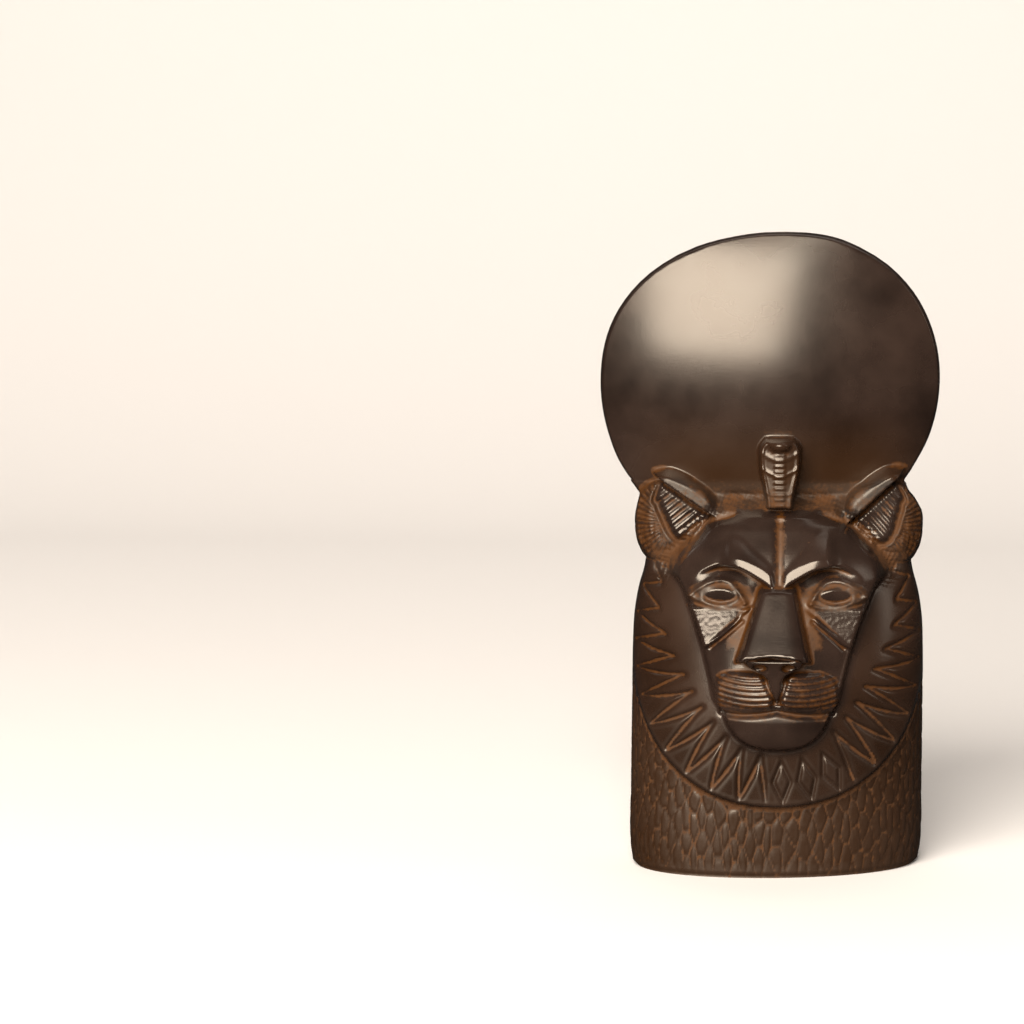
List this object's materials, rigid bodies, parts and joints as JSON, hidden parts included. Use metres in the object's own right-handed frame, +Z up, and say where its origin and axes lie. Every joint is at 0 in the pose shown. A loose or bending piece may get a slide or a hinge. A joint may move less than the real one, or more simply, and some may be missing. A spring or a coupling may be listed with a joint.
{
  "type": "souvenir bust of a lioness-headed figure with a sun disk",
  "caption": "Palm-sized cast bust of a lioness-headed goddess: sun disk, rearing cobra, fringed ears, tufted ruff and an oval column of carved hair, flat below.",
  "frame": {"origin": "centre of the bounding box at the underside, where the bust stands", "axes": "+Z up, the face looks along -Y, +X to the viewer's right"},
  "size_m": [0.08, 0.0606, 0.15],
  "materials": {
    "waxed_resin": "near-black brown cast resin, wax sheen, ochre wash in the carving"
  },
  "bodies": {
    "root": {"sekhmet_bust": "waxed_resin"}
  },
  "joints": []
}
